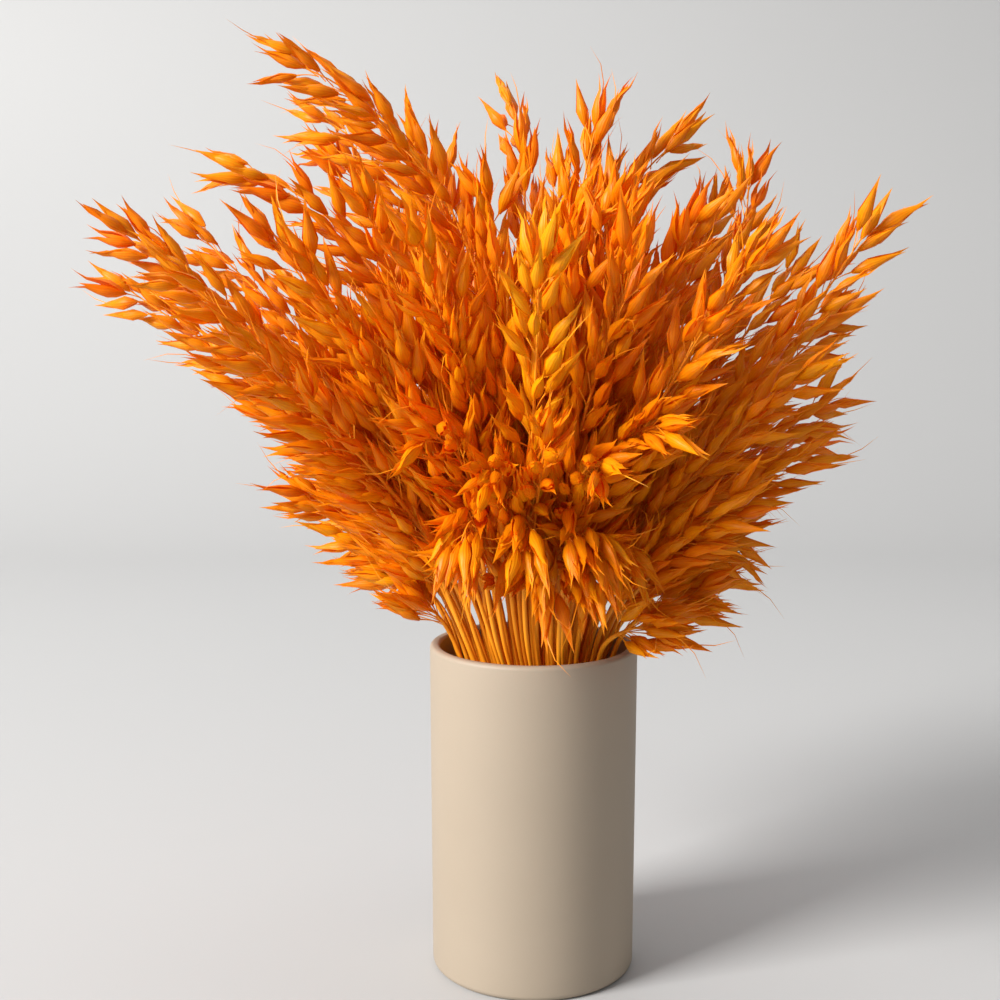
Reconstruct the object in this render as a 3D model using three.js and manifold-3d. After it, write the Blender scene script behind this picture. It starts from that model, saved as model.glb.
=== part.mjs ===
// A straight-sided ceramic vase that holds a full bunch of dyed, dried oats.
// Millimetres, +Z up. The origin is the centre of the vase's underside.
// Each oat is one closed solid: a bare straw, and above it a panicle, which is a slim core with forked
// spikelets standing out of it. The straws cross inside the vase as in a hand-tied spiral bunch, and no
// two oats touch each other or the vase.

import * as THREE from "three";
import { mergeVertices } from "three/addons/utils/BufferGeometryUtils.js";
import Module from "manifold-3d";

const wasm = await Module();
wasm.setup();

// The vase
const VASE_HEIGHT = 160;
const VASE_RADIUS = 50;
const VASE_FOOT_RADIUS = 49.3;
const VASE_WALL = 5;
const VASE_FLOOR = 8;
const LIP_ROUND = 2;
const FOOT_ROUND = 3.2;
const INNER_CORNER = 4;
const VASE_SEGMENTS = 48;
const VASE_COLOUR = 0xd2bda2;

// The straws
const STRAW_RADIUS = 1.25;
const STRAW_SIDES = 3;
const FOOT_GAP = 0.3;
const MOUTH_REACH = 40.5; // how far from the vase's axis a straw may stand at the rim
const MOUTH_SPACING = 8.2;
const FULL_LEAN = THREE.MathUtils.degToRad(68); // straws whose tips lean this much stand at the edge
const SETTLE_ROUNDS = 240; // rounds in which the straws settle at their spacing
const FOOT_SPREAD = 0.85; // the feet's circle, as a share of the circle at the rim
const SPIRAL_TURN = THREE.MathUtils.degToRad(120); // how far the bunch turns from rim to foot
const HANDLE = 0.36; // a curve's handles, as a share of its span
const BOW = 0.12; // and how much longer they get where the straw's end hangs down
const OVERSHOOT = 0.35; // how much further than its chord a straw's end turns
const BEND_ROUNDS = 60; // rounds in which the straws bend clear of each other
const BEND_STEPS = 36; // places along a straw where it is tested
const BEND_ROOM = 1.6; // the room left between two cores
const OAT_COLOURS = [0xf08a12, 0xea7a0a, 0xf59a1e];

// The panicles
const CORE_RADIUS = 4.4;
const CORE_SHARES = [0, 0.12, 0.28, 0.46, 0.64, 0.82, 1]; // the core's rings along the panicle
const BARE_STRAW = 16; // least length of bare straw above the rim
const BARE_SHARE = 0.1; // and this share of the length above the rim, added to it
const LATEST_START = 0.45; // a panicle starts at this share of the length at the latest
const CORE_SWELL = 0.25; // the share of the panicle over which its core swells
const CORE_TAPER = 0.45; // and the share over which it tapers
const TERMINAL_LENGTH = 27;
const LEAST_SLOTS = 14; // places for spikelets, besides one for each spacing along the panicle
const SLOT_SPACING = 3.5;
const SLOT_STRIDE = 6; // this model fills every sixth place
const DROOP = 0.06; // how much a spikelet's own weight turns it down on an upright straw
const LEVEL_DROOP = 0.26; // and how much more on a level one
const HANG = 0.8; // and on a straw whose end hangs down
const TIP_THINNING = 0.5; // how much wider apart the places are towards the tip
const TIP_FOLD = 0.2; // how much closer the spikelets lie to the straw towards the tip
const GOLDEN_ANGLE = THREE.MathUtils.degToRad(137.5);
const SPREAD = [26, 50]; // degrees between a straw and its spikelets' stalks
const SPLAY = [8, 36]; // and between a straw and the spikelets themselves
const SWAY = [-0.2, 0.2]; // how far they lean sideways
const AZIMUTH_SPREAD = [-0.6, 0.6]; // how far they stray from the spiral, in radians
const STALK = [5, 10];
const LOWEST_STALK = 8; // how much longer the stalks are at the panicle's foot
const SIZES = [0.86, 1.1];
const CLEARANCE = 0.5; // the least gap between two oats
const TRIES = 14; // tries at a place, each turned on by the next angle
const TRY_TURN = 0.45;

// A spikelet: two glumes that part at their tips
const SPIKELET_LENGTH = 28;
const SPIKELET_WIDTH = 7;
const SPIKELET_DEPTH = 5;
const BELLY_AT = 0.36; // shares of the spikelet's length
const CROTCH_AT = 0.58;
const SHORT_TIP_AT = 0.92;
const FORK_WIDTH = 8.5;
const BELLY_BALL = 3.7; // radii of the balls that cover it when its room is tested
const GLUME_BALLS = [2.8, 0.4];
const STRAW_BALLS = 90; // and of the balls along a straw, their number
const TERMINAL_ROOT = 0.97; // where the last spikelet is rooted, as a share of the panicle

// Where the bunch was looked at from when its outline was measured
const EYE = new THREE.Vector3(-16, -703, 323);

// Each panicle's tip: x and z as seen in the upright plane through the vase's axis, then its depth y
// (towards the viewer is negative), and the lean of its last stretch in degrees where it nods.
const TIPS = [
  // the wing on the left
  [-206, 371, -20],
  [-209, 342, 46],
  [-173, 371, 66],
  [-161, 309, -12],
  [-129, 287, -56],
  [-184, 352, -76],
  [-114, 261, 40],
  [-154, 322, -106],
  // the upper left, whose tallest nod outwards
  [-158, 393, 12, 70],
  [-138, 375, -20],
  [-115, 417, 48, 60],
  [-131, 440, -8, 68],
  [-95, 425, -40, 54],
  [-108, 406, 72, 48],
  [-88, 392, -72],
  [-120, 364, -92],
  // the middle
  [-49, 403, 86],
  [-24, 396, -30],
  [-13, 422, 44, 46],
  [34, 428, -4, 12],
  [29, 380, -52, 44],
  [-60, 374, -104],
  [11, 402, 92],
  // the upper right
  [82, 410, 16, 52],
  [82, 384, -42],
  [91, 384, 30],
  [100, 401, 64, 2],
  [117, 368, -60],
  [134, 354, 50],
  [166, 376, -12, 30],
  [55, 367, -100],
  [97, 341, -104],
  // the right
  [156, 331, 60],
  [145, 308, -54],
  [154, 291, 30],
  [147, 265, -24],
  [116, 241, -62],
  [112, 223, 44],
  // low on the right
  [105, 199, 40],
  [101, 190, -28],
  [75, 174, -60, 70],
  // low on the left
  [-127, 246, 20],
  [-95, 215, 34],
  [-70, 195, -20],
  // those that lean towards the viewer
  [-28, 237, -128, 92],
  [42, 242, -126, 90],
  [-43, 183, -98, 138],
  [35, 180, -100, 134],
  [-65, 263, -112, 80],
  [79, 266, -110, 84],
  [8, 277, -120],
];

// The back of the bunch: tips on a dome, by a rule
const BACK_OATS = 8;
const BACK_SWEEP = THREE.MathUtils.degToRad(130);
const BACK_LEANS = [26, 66, 46].map(THREE.MathUtils.degToRad);
const BACK_REACH = [238, 166, 205];

const UP = new THREE.Vector3(0, 0, 1);
const RIM_CENTRE = new THREE.Vector3(0, 0, VASE_HEIGHT);

// Seeds, so that every build grows the same bunch
const OAT_SEED = 7919;
const SLOT_SEED = 104729;
const TRY_SEED = 1299709;
const TERMINAL_SEED = 15485863;

// A seeded draw between two numbers
function makeDraw(seed) {
  let state = seed;
  const next = () => {
    state = (state * 1664525 + 1013904223) % 4294967296;
    return state / 4294967296;
  };
  next();
  next();
  next();
  return (low, high) => low + (high - low) * next();
}

// The tips

function seenTip([x, z, depth]) {
  const inPlane = new THREE.Vector3(x, 0, z);
  return inPlane.sub(EYE).multiplyScalar(1 + depth / -EYE.y).add(EYE);
}

function backTip(k) {
  const azimuth = Math.PI / 2 + BACK_SWEEP * ((k + 0.5) / BACK_OATS - 0.5);
  const lean = BACK_LEANS[k % BACK_LEANS.length];
  const reach = BACK_REACH[k % BACK_REACH.length];
  return new THREE.Vector3(
    Math.cos(azimuth) * Math.sin(lean),
    Math.sin(azimuth) * Math.sin(lean),
    Math.cos(lean),
  ).multiplyScalar(reach).add(RIM_CENTRE);
}

// Where each straw passes the rim: outer ones serve the tips that lean most, and all keep their distance
function mouthPoints(tips) {
  const points = tips.map((tip) => {
    const out = tip.clone().sub(RIM_CENTRE);
    const lean = Math.atan2(Math.hypot(out.x, out.y), out.z);
    const radius = MOUTH_REACH * Math.min(1, lean / FULL_LEAN);
    const azimuth = Math.atan2(out.y, out.x);
    return new THREE.Vector3(radius * Math.cos(azimuth), radius * Math.sin(azimuth), VASE_HEIGHT);
  });
  for (let round = 0; round < SETTLE_ROUNDS; round++) {
    for (let i = 0; i < points.length; i++) {
      for (let j = i + 1; j < points.length; j++) {
        const apart = points[j].clone().sub(points[i]);
        const gap = apart.length();
        if (gap < MOUTH_SPACING) {
          apart.multiplyScalar((MOUTH_SPACING - gap) / (2 * Math.max(gap, 1e-6)));
          points[i].sub(apart);
          points[j].add(apart);
        }
      }
    }
    for (const point of points) {
      const radius = Math.hypot(point.x, point.y);
      if (radius > MOUTH_REACH) {
        point.x *= MOUTH_REACH / radius;
        point.y *= MOUTH_REACH / radius;
      }
    }
  }
  return points;
}

// The straw's foot on the vase's floor, turned round the axis so that the straws cross without touching
function footPoint(mouth) {
  const foot = mouth.clone().multiplyScalar(FOOT_SPREAD).applyAxisAngle(UP, SPIRAL_TURN);
  foot.z = VASE_FLOOR + FOOT_GAP;
  return foot;
}

// Cubic curves above the rim

const weights = (t) => [(1 - t) ** 3, 3 * t * (1 - t) ** 2, 3 * t * t * (1 - t), t ** 3];

function pointAt(oat, t) {
  const sum = new THREE.Vector3();
  weights(t).forEach((weight, k) => sum.addScaledVector(oat.curve[k], weight));
  return sum;
}

function tangentAt(oat, t) {
  const [a, b, c, d] = oat.curve;
  return b.clone().sub(a).multiplyScalar((1 - t) ** 2)
    .addScaledVector(c.clone().sub(b), 2 * t * (1 - t))
    .addScaledVector(d.clone().sub(c), t * t)
    .normalize();
}

// The way a straw heads at the end of its curve: a little past its chord, or at the stated lean
function endDirection(start, chord, nod) {
  if (nod === undefined) {
    return chord.clone().addScaledVector(chord.clone().sub(start), OVERSHOOT).normalize();
  }
  const lean = THREE.MathUtils.degToRad(nod);
  const level = Math.hypot(chord.x, chord.y);
  return new THREE.Vector3(
    (chord.x / level) * Math.sin(lean),
    (chord.y / level) * Math.sin(lean),
    Math.cos(lean),
  );
}

function makeOat(tip, mouth, nod) {
  const foot = footPoint(mouth);
  const start = mouth.clone().sub(foot).normalize();
  const chord = tip.clone().sub(mouth).normalize();
  const end = endDirection(start, chord, nod);
  const last = tip.clone().addScaledVector(end, -TERMINAL_LENGTH);
  const hang = Math.max(0, -end.z);
  const handle = last.distanceTo(mouth) * (HANDLE + BOW * hang);
  const curve = [
    mouth,
    mouth.clone().addScaledVector(start, handle),
    last.clone().addScaledVector(end, -handle),
    last,
  ];
  return { foot, curve, hang };
}

const oatLength = (oat) => oat.curve[0].distanceTo(oat.curve[3]);
const panicleStart = (oat) => Math.min(LATEST_START, BARE_STRAW / oatLength(oat) + BARE_SHARE);

// The core's radius along the curve: the bare straw, then a quick swelling, then a long taper
function radiusAt(oat, t) {
  const along = (t - panicleStart(oat)) / (1 - panicleStart(oat));
  if (along <= 0) return STRAW_RADIUS;
  const swell = Math.min(1, along / CORE_SWELL);
  const taper = Math.min(1, (1 - along) / CORE_TAPER);
  return STRAW_RADIUS + (CORE_RADIUS - STRAW_RADIUS) * swell * Math.sqrt(taper);
}

// A point on the straight lines between the centres of the core's rings
function spinePoint(oat, share) {
  const next = Math.max(1, CORE_SHARES.findIndex((ring) => ring >= share));
  const [low, high] = [CORE_SHARES[next - 1], CORE_SHARES[next]];
  const [from, to] = [low, high].map((ring) => pointAt(oat, oat.start + (1 - oat.start) * ring));
  return from.lerp(to, (share - low) / (high - low));
}

// Bends the curves clear of each other
function bendClear(oats) {
  for (let round = 0; round < BEND_ROUNDS; round++) {
    const points = oats.map((oat) =>
      Array.from({ length: BEND_STEPS }, (_, k) => pointAt(oat, (k + 1) / BEND_STEPS)),
    );
    const radii = oats.map((oat) =>
      Array.from({ length: BEND_STEPS }, (_, k) => radiusAt(oat, (k + 1) / BEND_STEPS)),
    );
    for (let i = 0; i < oats.length; i++) {
      for (let j = i + 1; j < oats.length; j++) {
        let worst = 0;
        let found = null;
        for (let a = 0; a < BEND_STEPS; a++) {
          for (let b = 0; b < BEND_STEPS; b++) {
            const need = radii[i][a] + radii[j][b] + BEND_ROOM;
            const lack = need - points[i][a].distanceTo(points[j][b]);
            if (lack > worst) {
              worst = lack;
              found = [a, b];
            }
          }
        }
        if (found) {
          const [a, b] = found;
          const apart = points[j][b].clone().sub(points[i][a]).normalize();
          pushCurve(oats[i], (a + 1) / BEND_STEPS, apart, -worst / 2);
          pushCurve(oats[j], (b + 1) / BEND_STEPS, apart, worst / 2);
        }
      }
    }
  }
}

function pushCurve(oat, t, direction, distance) {
  const [, w1, w2, w3] = weights(t);
  const total = w1 * w1 + w2 * w2 + w3 * w3;
  oat.curve[1].addScaledVector(direction, (distance * w1) / total / 2);
  oat.curve[2].addScaledVector(direction, (distance * w2) / total / 2);
  oat.curve[3].addScaledVector(direction, (distance * w3) / total / 2);
}

// Two directions square to the curve, which turn smoothly along it
function squareTo(oat, tangent) {
  const end = tangentAt(oat, 1);
  const flat = new THREE.Vector3(-end.y, end.x, 0);
  if (flat.length() < 1e-3) flat.set(1, 0, 0);
  flat.normalize();
  const across = flat.clone().cross(tangent).normalize();
  return [across.clone().cross(tangent).normalize(), across];
}

// Spikelets

// Where the spikelet of one slot stands: its root on the curve, its base, and its own three directions
function placeSpikelet(oat, oatIndex, slot, attempt) {
  const draw = makeDraw(oatIndex * OAT_SEED + slot * SLOT_SEED + attempt * TRY_SEED);
  const order = (slot + 0.5) / oat.slots;
  const share = order * (1 - TIP_THINNING + TIP_THINNING * order);
  const t = oat.start + (1 - oat.start) * share;
  const tangent = tangentAt(oat, t);
  const [side, across] = squareTo(oat, tangent);
  const azimuth = slot * GOLDEN_ANGLE + oatIndex + draw(...AZIMUTH_SPREAD) + attempt * TRY_TURN;
  const outward = side.clone().multiplyScalar(Math.cos(azimuth))
    .addScaledVector(across, Math.sin(azimuth));
  const eased = (1 - attempt / (2 * TRIES)) * (1 - TIP_FOLD * share);
  const spread = THREE.MathUtils.degToRad(draw(...SPREAD)) * eased;
  const stalk = draw(...STALK) + LOWEST_STALK * (1 - share) * draw(0.4, 1);
  const root = spinePoint(oat, share);
  const base = root.clone()
    .addScaledVector(tangent, stalk * Math.cos(spread))
    .addScaledVector(outward, stalk * Math.sin(spread));
  const splay = THREE.MathUtils.degToRad(draw(...SPLAY)) * eased;
  const along = tangent.clone().multiplyScalar(Math.cos(splay))
    .addScaledVector(outward, Math.sin(splay))
    .addScaledVector(tangent.clone().cross(outward), draw(...SWAY))
    .addScaledVector(UP, -DROOP - LEVEL_DROOP * Math.hypot(tangent.x, tangent.y) - HANG * oat.hang)
    .normalize();
  return { root, base, ...spikeletFrame(along, draw(0, Math.PI)), size: draw(...SIZES) };
}

function placeTerminal(oat, oatIndex) {
  const draw = makeDraw(oatIndex * OAT_SEED + TERMINAL_SEED);
  const along = tangentAt(oat, 1);
  const base = oat.curve[3].clone();
  const root = spinePoint(oat, TERMINAL_ROOT);
  return { root, base, ...spikeletFrame(along, draw(0, Math.PI)), size: 1 };
}

function spikeletFrame(along, roll) {
  const level = Math.abs(along.z) > 0.9 ? new THREE.Vector3(1, 0, 0) : UP;
  const first = level.clone().cross(along).normalize();
  const second = along.clone().cross(first);
  const fork = first.clone().multiplyScalar(Math.cos(roll)).addScaledVector(second, Math.sin(roll));
  return { along, fork, face: along.clone().cross(fork) };
}

// A point of the spikelet: shares of its length along it, and millimetres across and through it
function spikeletPoint(place, along, across, through) {
  return place.base.clone()
    .addScaledVector(place.along, along * SPIKELET_LENGTH * place.size)
    .addScaledVector(place.fork, across * place.size)
    .addScaledVector(place.face, through * place.size);
}

// Seven corners and ten faces: a root, a three-sided belly, the crotch and the two glume tips
function spikeletGeometry(place) {
  const half = SPIKELET_WIDTH / 2;
  const third = SPIKELET_DEPTH / 3;
  const corners = [
    place.root,
    spikeletPoint(place, BELLY_AT, -half, -third),
    spikeletPoint(place, BELLY_AT, half, -third),
    spikeletPoint(place, BELLY_AT, 0, 2 * third),
    spikeletPoint(place, CROTCH_AT, 0, -third / 2),
    spikeletPoint(place, 1, -FORK_WIDTH / 2, 0),
    spikeletPoint(place, SHORT_TIP_AT, FORK_WIDTH / 2, 0),
  ];
  const [root, left, right, back, crotch, tipA, tipB] = corners.keys();
  const faces = [
    [root, right, left], [root, back, right], [root, left, back],
    [left, right, crotch],
    [left, crotch, tipA], [crotch, back, tipA], [back, left, tipA],
    [crotch, right, tipB], [right, back, tipB], [back, crotch, tipB],
  ];
  return closedGeometry(corners, faces);
}

// Balls that cover the spikelet outside its root, as [centre, radius]
function spikeletBalls(place) {
  const belly = spikeletPoint(place, BELLY_AT, 0, 0);
  const crotch = spikeletPoint(place, CROTCH_AT, 0, 0);
  const tipA = spikeletPoint(place, 1, -FORK_WIDTH / 2, 0);
  const tipB = spikeletPoint(place, SHORT_TIP_AT, FORK_WIDTH / 2, 0);
  const balls = [];
  for (const share of [0.4, 0.6, 0.8]) {
    balls.push([place.root.clone().lerp(belly, share), BELLY_BALL * share]);
  }
  balls.push([belly, BELLY_BALL]);
  balls.push([belly.clone().lerp(crotch, 0.5), BELLY_BALL]);
  for (const tip of [tipA, tipB]) {
    for (const share of [0.1, 0.35, 0.6, 0.8, 0.95]) {
      const radius = THREE.MathUtils.lerp(...GLUME_BALLS, share);
      balls.push([crotch.clone().lerp(tip, share), radius]);
    }
  }
  return balls;
}

// Solids

function closedGeometry(corners, faces) {
  const geometry = new THREE.BufferGeometry().setFromPoints(corners);
  geometry.setIndex(faces.flat());
  return geometry;
}

// Rings of points joined in turn and closed at both ends
function loftGeometry(rings) {
  const sides = rings[0].length;
  const faces = [];
  for (let ring = 0; ring + 1 < rings.length; ring++) {
    for (let k = 0; k < sides; k++) {
      const a = ring * sides + k;
      const b = ring * sides + ((k + 1) % sides);
      faces.push([a, b, b + sides], [a, b + sides, a + sides]);
    }
  }
  const last = (rings.length - 1) * sides;
  for (let k = 1; k + 1 < sides; k++) {
    faces.push([0, k + 1, k], [last, last + k, last + k + 1]);
  }
  return closedGeometry(rings.flat(), faces);
}

function ringAt(oat, centre, tangent, radius) {
  const [side, across] = squareTo(oat, tangent);
  return Array.from({ length: STRAW_SIDES }, (_, k) => {
    const angle = (2 * Math.PI * k) / STRAW_SIDES;
    return centre.clone()
      .addScaledVector(side, radius * Math.cos(angle))
      .addScaledVector(across, radius * Math.sin(angle));
  });
}

// The straw and its core, from the foot, cut level, to the end of the curve
function strawGeometry(oat) {
  const start = tangentAt(oat, 0);
  const foot = ringAt(oat, oat.foot, start, STRAW_RADIUS);
  foot.forEach((point) => (point.z = oat.foot.z));
  const rings = [foot, ringAt(oat, oat.curve[0], start, STRAW_RADIUS)];
  for (const share of CORE_SHARES) {
    const t = oat.start + (1 - oat.start) * share;
    rings.push(ringAt(oat, pointAt(oat, t), tangentAt(oat, t), radiusAt(oat, t)));
  }
  return loftGeometry(rings);
}

function toSolid(geometry) {
  const merged = mergeVertices(geometry, 1e-4);
  return new wasm.Manifold(
    new wasm.Mesh({
      numProp: 3,
      vertProperties: new Float32Array(merged.attributes.position.array),
      triVerts: new Uint32Array(merged.index.array),
    }),
  );
}

function toGeometry(solid) {
  const mesh = solid.getMesh();
  const geometry = new THREE.BufferGeometry();
  geometry.setAttribute("position", new THREE.BufferAttribute(mesh.vertProperties, 3));
  geometry.setIndex(new THREE.BufferAttribute(mesh.triVerts, 1));
  geometry.computeVertexNormals();
  return geometry;
}

// The balls that are already taken, in a grid of cells, so that a new spikelet looks only at its neighbours
class Neighbours {
  cell = 12;
  cells = new Map();

  key(x, y, z) {
    return `${Math.floor(x / this.cell)},${Math.floor(y / this.cell)},${Math.floor(z / this.cell)}`;
  }

  add(centre, radius, owner) {
    const key = this.key(centre.x, centre.y, centre.z);
    if (!this.cells.has(key)) this.cells.set(key, []);
    this.cells.get(key).push({ centre, radius, owner });
  }

  // The least gap between the balls and what the other oats and the vase hold
  room(balls, owner) {
    let least = Infinity;
    for (const [centre, radius] of balls) {
      for (const dx of [-1, 0, 1]) {
        for (const dy of [-1, 0, 1]) {
          for (const dz of [-1, 0, 1]) {
            const key = this.key(
              centre.x + dx * this.cell,
              centre.y + dy * this.cell,
              centre.z + dz * this.cell,
            );
            for (const other of this.cells.get(key) ?? []) {
              if (other.owner === owner) continue;
              const gap = centre.distanceTo(other.centre) - radius - other.radius;
              if (gap < least) least = gap;
            }
          }
        }
      }
      least = Math.min(least, vaseRoom(centre, radius));
    }
    return least;
  }
}

// The gap between a ball and the vase
function vaseRoom(centre, radius) {
  const outside = Math.hypot(centre.x, centre.y) - VASE_RADIUS;
  const inside = -outside - VASE_WALL;
  return Math.max(centre.z - VASE_HEIGHT, outside, inside) - radius;
}

// The straws and cores as balls, close enough together to cover them
function takeStraws(oats, taken) {
  oats.forEach((oat, index) => {
    for (let k = 0; k <= STRAW_BALLS; k++) {
      const t = k / STRAW_BALLS;
      taken.add(pointAt(oat, t), radiusAt(oat, t), index);
    }
  });
}

// Each slot takes the first of its tries that is clear of the other oats, or stays empty
function growSpikelets(oats) {
  const taken = new Neighbours();
  takeStraws(oats, taken);
  const keep = (oat, index, place) => {
    oat.spikelets.push(place);
    spikeletBalls(place).forEach(([centre, radius]) => taken.add(centre, radius, index));
  };
  oats.forEach((oat, index) => {
    keep(oat, index, placeTerminal(oat, index));
  });
  const most = Math.max(...oats.map((oat) => oat.slots));
  for (let slot = SLOT_STRIDE - 1; slot < most; slot += SLOT_STRIDE) {
    oats.forEach((oat, index) => {
      if (slot >= oat.slots) return;
      for (let attempt = 0; attempt < TRIES; attempt++) {
        const place = placeSpikelet(oat, index, slot, attempt);
        if (taken.room(spikeletBalls(place), index) > CLEARANCE) {
          keep(oat, index, place);
          return;
        }
      }
    });
  }
}

function growBunch() {
  const tips = [
    ...TIPS.map(seenTip),
    ...Array.from({ length: BACK_OATS }, (_, k) => backTip(k)),
  ];
  const mouths = mouthPoints(tips);
  const oats = tips.map((tip, k) => makeOat(tip, mouths[k], TIPS[k]?.[3]));
  bendClear(oats);
  for (const oat of oats) {
    oat.start = panicleStart(oat);
    oat.slots = Math.round(LEAST_SLOTS + ((1 - oat.start) * oatLength(oat)) / SLOT_SPACING);
    oat.spikelets = [];
  }
  growSpikelets(oats);
  return oats;
}

// The vase, turned from its half outline

function arcPoints(x, y, radius, from, to, steps) {
  return Array.from({ length: steps + 1 }, (_, k) => {
    const angle = THREE.MathUtils.degToRad(from + ((to - from) * k) / steps);
    return new THREE.Vector2(x + radius * Math.cos(angle), y + radius * Math.sin(angle));
  });
}

function vaseMesh() {
  const inner = VASE_RADIUS - VASE_WALL;
  const profile = [
    new THREE.Vector2(0, 0),
    ...arcPoints(VASE_FOOT_RADIUS - FOOT_ROUND, FOOT_ROUND, FOOT_ROUND, -90, 0, 2),
    ...arcPoints(VASE_RADIUS - LIP_ROUND, VASE_HEIGHT - LIP_ROUND, LIP_ROUND, 0, 90, 2),
    ...arcPoints(inner + LIP_ROUND, VASE_HEIGHT - LIP_ROUND, LIP_ROUND, 90, 180, 2),
    ...arcPoints(inner - INNER_CORNER, VASE_FLOOR + INNER_CORNER, INNER_CORNER, 0, -90, 2),
    new THREE.Vector2(0, VASE_FLOOR),
  ];
  const geometry = new THREE.LatheGeometry(profile, VASE_SEGMENTS).rotateX(Math.PI / 2);
  const material = new THREE.MeshStandardMaterial({ color: VASE_COLOUR, roughness: 0.55 });
  const mesh = new THREE.Mesh(geometry, material);
  mesh.name = "vase";
  return mesh;
}

function oatMesh(oat, index) {
  const pieces = [strawGeometry(oat), ...oat.spikelets.map(spikeletGeometry)];
  const solid = wasm.Manifold.union(pieces.map(toSolid));
  const material = new THREE.MeshStandardMaterial({
    color: OAT_COLOURS[index % OAT_COLOURS.length],
    roughness: 0.6,
  });
  const mesh = new THREE.Mesh(toGeometry(solid), material);
  mesh.name = `oat_${String(index + 1).padStart(2, "0")}`;
  return mesh;
}

const vaseOfOats = new THREE.Group();
vaseOfOats.add(vaseMesh(), ...growBunch().map(oatMesh));

export default vaseOfOats;
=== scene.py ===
import math
import bpy
import numpy as np
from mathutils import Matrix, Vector


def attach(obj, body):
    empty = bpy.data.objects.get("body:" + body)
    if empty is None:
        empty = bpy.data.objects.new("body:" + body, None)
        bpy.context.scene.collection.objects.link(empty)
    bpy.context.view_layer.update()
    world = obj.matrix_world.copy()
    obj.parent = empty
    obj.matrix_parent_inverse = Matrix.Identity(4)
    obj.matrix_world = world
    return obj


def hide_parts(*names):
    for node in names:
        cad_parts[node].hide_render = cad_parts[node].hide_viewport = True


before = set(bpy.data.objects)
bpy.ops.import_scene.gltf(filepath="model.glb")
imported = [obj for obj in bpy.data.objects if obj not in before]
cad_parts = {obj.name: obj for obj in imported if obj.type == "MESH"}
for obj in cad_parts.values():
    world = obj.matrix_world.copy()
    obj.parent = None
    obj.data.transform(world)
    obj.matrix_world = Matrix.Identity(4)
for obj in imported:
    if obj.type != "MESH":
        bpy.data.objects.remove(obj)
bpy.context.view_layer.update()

MM = 0.001  # the vase and the oats are worked out in millimetres and written in metres

# The vase
VASE_HEIGHT = 160
VASE_RADIUS = 50
VASE_FOOT_RADIUS = 49.3
VASE_WALL = 5
VASE_FLOOR = 8
LIP_ROUND = 2
FOOT_ROUND = 3.2
INNER_CORNER = 4
UNDERSIDE_RINGS = (15.0, 32.0)
FOOT_STEPS, LIP_STEPS, CORNER_STEPS = 8, 7, 6
VASE_SEGMENTS = 160
RING_GAP = 12  # the most between two rings on a straight stretch
VASE_EDGE = math.radians(40)  # faces that meet at more than this keep a sharp edge

# The straws
STRAW_RADIUS = 1.25
FOOT_GAP = 0.3
MOUTH_REACH = 40.5  # how far from the vase's axis a straw may stand at the rim
MOUTH_SPACING = 8.2
LEAST_GAP = 1e-6  # for two straws at one place
FULL_LEAN = math.radians(68)  # straws whose tips lean this much stand at the edge
SETTLE_ROUNDS = 240  # rounds in which the straws settle at their spacing
FOOT_SPREAD = 0.85  # the feet's circle, as a share of the circle at the rim
SPIRAL_TURN = math.radians(120)  # how far the bunch turns from rim to foot
HANDLE = 0.36  # a curve's handles, as a share of its span
BOW = 0.12  # and how much longer they get where the straw's end hangs down
OVERSHOOT = 0.35  # how much further than its chord a straw's end turns
BEND_ROUNDS = 60  # rounds in which the straws bend clear of each other
BEND_STEPS = 36  # places along a straw where it is tested
BEND_ROOM = 1.6  # the room left between two cores

# The panicles. The core is the solids' thick middle of a panicle; here the straw runs on through its place.
CORE_RADIUS = 4.4
CORE_SHARES = (0, 0.12, 0.28, 0.46, 0.64, 0.82, 1)  # the core's rings along the panicle
BARE_STRAW = 16  # least length of bare straw above the rim
BARE_SHARE = 0.1  # and this share of the length above the rim, added to it
LATEST_START = 0.45  # a panicle starts at this share of the length at the latest
CORE_SWELL = 0.25  # the share of the panicle over which its core swells
CORE_TAPER = 0.45  # and the share over which it tapers
TERMINAL_LENGTH = 27
LEAST_SLOTS = 14  # places for spikelets, besides one for each spacing along the panicle
SLOT_SPACING = 3.5
SLOT_STRIDE = 6  # the solids fill every sixth place
GOLDEN_ANGLE = math.radians(137.5)
DROOP = 0.06  # how much a spikelet's own weight turns it down on an upright straw
LEVEL_DROOP = 0.26  # and how much more on a level one
HANG = 0.8  # and on a straw whose end hangs down
TIP_THINNING = 0.5  # how much wider apart the places are towards the tip
TIP_FOLD = 0.2  # how much closer the spikelets lie to the straw towards the tip
SPREAD = (26, 50)  # degrees between a straw and its spikelets' stalks
SPLAY = (8, 36)  # and between a straw and the spikelets themselves
SWAY = (-0.2, 0.2)  # how far they lean sideways
AZIMUTH_SPREAD = (-0.6, 0.6)  # how far they stray from the spiral, in radians
STALK = (5, 10)
LOWEST_STALK = 8  # how much longer the stalks are at the panicle's foot
LOWEST_STALK_VARIES = (0.4, 1)
SIZES = (0.86, 1.1)
CLEARANCE = 0.5  # the least gap between two oats of the solids
TRIES = 14  # tries at a place, each turned on by the next angle
TRY_TURN = 0.45
FINE_CLEARANCE = -1.6  # the finer spikelets may press into each other a little
FINE_TRIES = 6

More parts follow.
